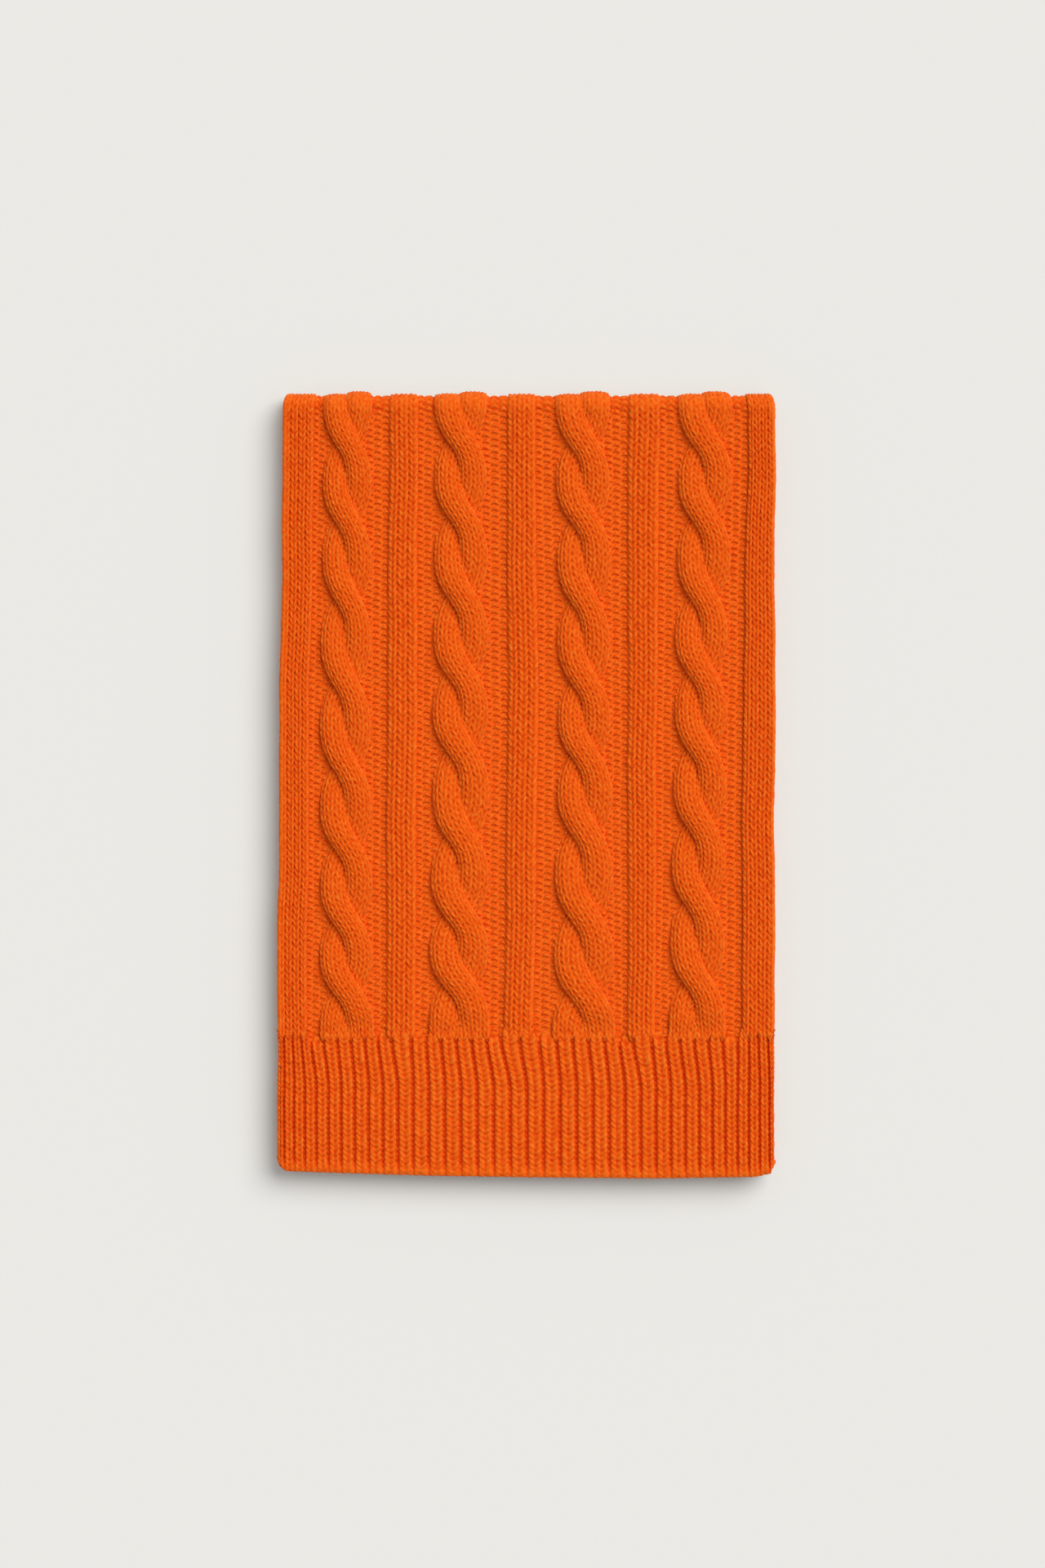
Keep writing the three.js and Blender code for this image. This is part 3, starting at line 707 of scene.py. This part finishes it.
def rib_cloth(first, last, rng, from_body=True):
    """Course, x, height and relief of the ribs from one course to another. Before course 0
    they lie under the end of the body. From there on the wales spread to the ribs' places over
    RIB_SETTLE, and each turns from what it is in the body to rib or groove over one and a half
    courses, starting a little before or after zero."""
    down = np.arange(round((last - first) * 4) + 1) / 4 + first
    wale, row = np.meshgrid(rib_columns(), down)
    height, plain = rib_section(wale)
    at = np.clip(np.floor(wale + 1e-6).astype(int), 0, WALES - 1)
    number = np.arange(WALES + 1)
    x = np.interp(wale, number, rib_wale_edges())
    if from_body:
        start = rng.uniform(*RIB_STARTS, WALES)[at]
        body_edges, body_heights = body_wale_edges()
        was_plain = (body_heights[at] > GUTTER_HEIGHT) * 1.0
        body = body_heights[at] - RIB_TUCK * np.clip(-row, 0, TUCKED_COURSES)
        from_side = np.minimum(wale, WALES - wale)
        height = np.where(from_side < 0.5, height, mix(body, height, smooth(start, start + 2, row)))
        knit_share = mix(was_plain, plain, smooth(start, start + 1.5, row))
        middles = (body_edges[1:-1:2] + body_edges[2:-1:2]) / 2
        gathered = np.array([body_edges[0], *gather(middles), body_edges[-1]])
        narrowing = smooth(start - 0.5, start + 1.5, row)
        in_body = mix(np.interp(wale, number, body_edges), np.interp(wale, number, gathered), narrowing)
        x = mix(in_body, x, smooth(0, RIB_SETTLE, row * (RIB_END - RIB_START) / RIB_COURSES))
    else:
        knit_share = plain * 1.0
    lean = STITCH_LEAN * (1 - np.abs(2 * (wale % 1) - 1)) * knit_share
    course = row + lean * np.clip((last - row) / 2, 0, 1)
    knit = knit_relief(wale, row, rng, RIB_SIDE_GROOVE)
    relief = mix(0.6 * purl_relief(wale, row, rng), knit, knit_share)
    return course, x, height, relief


def rib_end_cloth(rng):
    """Flat from under the body's end to the rolled edge, then half a turn down: y follows the sine
    and the height the cosine of the turn."""
    turn_start = RIB_COURSES - HEM_TURN_COURSES + 1
    course, x, height, relief = rib_cloth(-TUCKED_COURSES, RIB_COURSES + 1, rng)
    turned = smooth(turn_start - 2, turn_start + 1, course)
    even = mix(height, mix(RIB_HEIGHT - 0.3, height, HEM_RIBS), turned)
    from_side = np.minimum(rib_columns(), WALES - rib_columns())
    even = np.where(from_side < 0.5, np.minimum(even, height), even)
    front = hem_y(x)
    back = FOLD_Y - RIB_START
    reach = back - front - HEM_ROLL
    angle = np.clip((course - turn_start) / HEM_TURN_COURSES, 0, 1) * np.pi * HEM_TURN
    flat = np.minimum(course, turn_start) / turn_start
    y = back - reach * flat - HEM_ROLL * np.sin(angle)
    z = INNER_Z + even * (0.5 + 0.5 * np.cos(angle))
    points = np.stack([x + wander(course * 3.1, 5, 0.2), y, z], axis=-1)
    return push_out(points, relief * mix(1, 0.4, turned))


rib_end = cloth_piece("ribbed_end", [rib_end_cloth(np.random.default_rng(120))])
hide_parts("rib_end")


# The folded layers. Under the top layer the cloth goes on: round the back fold to the
# ground, forward to the front fold, back, round inside the back fold, and forward again to
# its other ribbed end. What shows is its rolled selvedges, that front fold and that hem.
HIDDEN_SIDE = [1.4, 2.6, 1.8]  # how far each layer lies inside the top one's outline
FRONT_INSET = 2.6
OTHER_HEM_INSET = 1.6
HIDDEN_RADIUS = LAYER / 2  # of the turns, at the middle of the cloth
SELVEDGE_WALES = 3
SELVEDGE_WALE = 3.4
CLEAR = 0.15  # each roll is this much slimmer than its layer
HALF_WIDTH = 152.7
FOLD_SIDE = 2.4  # how far the front fold ends inside its layer's rolled selvedges
HEM_SIDE = 1.2
UNDERSIDE_SIDE = 2.6
CORNER_FROM = 138  # the front corners draw back from here on out
FOLD_CORNER, FOLD_CORNER_WIDTH = 5, 11  # how far, and over what width
HEM_CORNER, HEM_CORNER_WIDTH = 6, 13
FRONT_REACH = 1.35  # how far the front fold's rows go: its turn ends at 1, the rest lies flat
FRONT_FLAT = 8  # length of flat cloth to 1 of that
UNDERSIDE_COURSES = 118


def folded_path(side):
    """The middle of the cloth from the back end of the bottom layer to the front end of the third:
    y, z, and the direction out of its face, every half millimetre along it."""
    corner = strip_edge(-1 if side < 0 else len(STRIPS) - 1, RIB_START) - side * 8
    front = hem_y(corner) + FRONT_INSET + LAYER
    back = FOLD_Y + 2
    angle = np.linspace(-np.pi / 2, np.pi / 2, 24)
    flat = np.linspace(0, 1, 900)
    legs = [
        (mix(back, front, flat), 0 * flat + LAYER / 2, 0 * flat, -1 + 0 * flat),
        (
            front - HIDDEN_RADIUS * np.cos(angle),
            LAYER + HIDDEN_RADIUS * np.sin(angle),
            -np.cos(angle),
            np.sin(angle),
        ),
        (mix(front, back, flat), 0 * flat + LAYER * 1.5, 0 * flat, 1 + 0 * flat),
        (
            back + HIDDEN_RADIUS * np.cos(angle),
            LAYER * 2 + HIDDEN_RADIUS * np.sin(angle),
            -np.cos(angle),
            -np.sin(angle),
        ),
        (mix(back, front - 2.2, flat), 0 * flat + LAYER * 2.5, 0 * flat, -1 + 0 * flat),
    ]
    return [np.concatenate(part) for part in zip(*legs)]


def selvedge(side, rng):
    """A half round edge of three wales, swept along the whole folded path."""
    y, z, out_y, out_z = folded_path(side)
    length = np.concatenate([[0], np.cumsum(np.hypot(np.diff(y), np.diff(z)))])
    wale, row, course = stitch_grid(SELVEDGE_WALES, 0, np.floor(length[-1] / COURSE), 6, 3)
    at = course * COURSE
    y, z, out_y, out_z = [np.interp(at, length, part) for part in (y, z, out_y, out_z)]
    angle = (wale / SELVEDGE_WALES - 0.5) * SELVEDGE_WALES * SELVEDGE_WALE / ROLL_RADIUS
    beyond = np.maximum(0, np.abs(angle) - np.pi / 2) * ROLL_RADIUS
    angle = np.clip(angle, -np.pi / 2, np.pi / 2)
    radius = HIDDEN_RADIUS - CLEAR
    edge = strip_edge(-1 if side < 0 else len(STRIPS) - 1, FOLD_Y - y)
    layers = [LAYER / 2, LAYER * 1.5, LAYER * 2.5]
    inset = np.interp(z, layers, HIDDEN_SIDE)
    corner = 4 * np.clip((hem_y(edge * 0.95) + 12 - y) / 12, 0, 1) ** 2
    corner = corner + CORNER_INSET * np.clip((y - FOLD_Y) / CORNER, 0, 1) ** 2
    x = edge - side * (inset + corner + radius * (1 - np.cos(angle)) + beyond)
    x = x + wander(at, 8 + side, 0.4)
    points = np.stack([x, y + out_y * radius * np.sin(angle), z + out_z * radius * np.sin(angle)], -1)
    relief = ROLL_RELIEF * knit_relief(wale, row, rng)
    if side > 0:
        points, relief = points[:, ::-1], relief[:, ::-1]
    return push_out(points, relief)


def front_fold(rng):
    """The half round face of the front fold: all 71 wales of the body, with purl ones lower."""
    body_edges, heights = body_wale_edges()
    columns = np.arange(WALES * 6 + 1) / 6
    rows = np.arange(6 * 4 + 1) / 4
    wale, row = np.meshgrid(columns, rows)
    number = np.clip(np.floor(wale + 1e-6).astype(int), 0, WALES - 1)
    plain = heights[number] > GUTTER_HEIGHT
    x = np.interp(wale, np.arange(WALES + 1), body_edges)
    x = x * (1 - (HIDDEN_SIDE[0] + FOLD_SIDE) / HALF_WIDTH)
    lean = np.where(plain, STITCH_LEAN * (1 - np.abs(2 * (wale % 1) - 1)), 0)
    along = (row + lean * np.clip(np.minimum(row, 6 - row) / 2, 0, 1)) / 6 * 2 - 1
    spread = np.clip(along * FRONT_REACH, -1, 1)
    angle = spread * np.pi / 2
    beyond = (np.abs(along * FRONT_REACH) - np.abs(spread)) * FRONT_FLAT
    kernel = np.ones(7) / 7
    depth = np.convolve(np.where(plain[0], 0.0, 1.3), kernel, "same")
    radius = LAYER - 0.1 - depth[None, :]
    front = hem_y(x) + FRONT_INSET + LAYER
    round_off = FOLD_CORNER * np.clip((np.abs(x) - CORNER_FROM) / FOLD_CORNER_WIDTH, 0, 1) ** 2
    y = front + round_off - radius * np.cos(angle) + beyond
    z = LAYER + radius * np.sin(-angle)
    relief = np.where(plain, knit_relief(wale, row, rng), 0.8 * purl_relief(wale, row, rng))
    return push_out(np.stack([x, y, z], -1), relief)


def other_hem(rng):
    """The hem of the third layer: ribs that show only where they turn down, half round."""
    course, x, height, relief = rib_cloth(0, 4, rng, from_body=False)
    x = x * (1 - (HIDDEN_SIDE[2] + HEM_SIDE) / HALF_WIDTH)
    angle = np.clip((course - 1) / 2.6, 0, 1) * np.pi * HEM_TURN
    round_off = HEM_CORNER * np.clip((np.abs(x) - CORNER_FROM) / HEM_CORNER_WIDTH, 0, 1) ** 2
    front = hem_y(x) + OTHER_HEM_INSET + round_off
    y = front + HEM_ROLL * (1 - np.sin(angle)) + 3.0 * np.maximum(0, 1 - course)
    even = 0.5 * (RIB_HEIGHT + height)
    z = 2 * LAYER + 0.2 + even * (0.5 + 0.5 * np.cos(angle))
    return push_out(np.stack([x, y, z], -1), 0.5 * relief)


def underside(rng):
    """The flat face on the ground: wales and courses as low relief, purl gutters a little higher
    than the rest, and at most one millimetre off the ground."""
    body_edges, heights = body_wale_edges()
    columns = np.arange(WALES * 2 + 1) / 2
    rows = np.arange(UNDERSIDE_COURSES * 2 + 1) / 2
    wale, row = np.meshgrid(columns, rows)
    number = np.clip(np.floor(wale + 1e-6).astype(int), 0, WALES - 1)
    plain = heights[number] > GUTTER_HEIGHT
    x = np.interp(wale, np.arange(WALES + 1), body_edges)
    x = x * (1 - (HIDDEN_SIDE[0] + UNDERSIDE_SIDE) / HALF_WIDTH)
    back, front = FOLD_Y, hem_y(x) + FRONT_INSET + LAYER
    y = mix(back, front, row / UNDERSIDE_COURSES)
    z = 0.05 + np.where(plain, 0.5 * (1 - (2 * wale) % 2), 1.0) + 0.15 * (row % 1)
    return np.stack([x, y, z, -z], -1)[:, ::-1]


rng = np.random.default_rng(150)
folded = cloth_piece(
    "folded_cloth",
    [selvedge(-1, rng), selvedge(1, rng), front_fold(rng), other_hem(rng), underside(rng)],
)
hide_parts("folded_layers")


# The ground and the light: a plain warm white floor, a broad soft light from the upper
# right, and an even pale room round them.
FLOOR = "#F1F0ED"
floor_finish = bpy.data.materials.new("floor_matte")
floor_finish.use_nodes = True
floor_finish.node_tree.nodes["Principled BSDF"].inputs["Base Color"].default_value = colour(FLOOR)
floor_finish.node_tree.nodes["Principled BSDF"].inputs["Roughness"].default_value = 0.9
floor_finish.node_tree.nodes["Principled BSDF"].inputs["Specular IOR Level"].default_value = 0.1
FLOOR_HALF = 3.0
floor_mesh = bpy.data.meshes.new("floor")
floor_corners = [(x, y, 0) for x, y in ((-1, -1), (1, -1), (1, 1), (-1, 1))]
floor_mesh.from_pydata([tuple(FLOOR_HALF * c for c in p) for p in floor_corners], [], [(0, 1, 2, 3)])
floor_mesh.materials.append(floor_finish)
floor = bpy.data.objects.new("floor", floor_mesh)
bpy.context.collection.objects.link(floor)


SUN_FROM = (1.0, 1.0, 1.7)  # the direction of the light, from the scarf
SUN_SOFTNESS = 46  # degrees across: a large diffuser
SUN_STRENGTH = 2.18
sun_data = bpy.data.lights.new("diffused_light", "SUN")
sun_data.energy = SUN_STRENGTH
sun_data.angle = np.radians(SUN_SOFTNESS)
sun_data.color = colour("#FEFDFB")[:3]
sun = bpy.data.objects.new("diffused_light", sun_data)
sun.rotation_mode = "QUATERNION"
sun.rotation_quaternion = Vector(SUN_FROM).to_track_quat("Z", "Y")
bpy.context.collection.objects.link(sun)
world = bpy.data.worlds.new("room")
bpy.context.scene.world = world
world.use_nodes = True
world.node_tree.nodes["Background"].inputs["Color"].default_value = colour("#FBFBFA")
world.node_tree.nodes["Background"].inputs["Strength"].default_value = 0.43

VIEW_HEIGHT = 0.960  # of the photograph, at the height of the cloth
TOP_HEIGHT = 0.020
LENS = 100.0  # a long lens, straight above
SENSOR = 36.0
camera_data = bpy.data.cameras.new("camera")
camera_data.lens = LENS
camera_data.sensor_width = SENSOR
camera = bpy.data.objects.new("camera", camera_data)
camera.location = (-0.00225, 0.00025, TOP_HEIGHT + VIEW_HEIGHT * LENS / SENSOR)
bpy.context.collection.objects.link(camera)
bpy.context.scene.camera = camera
bpy.context.scene.view_settings.view_transform = "Standard"
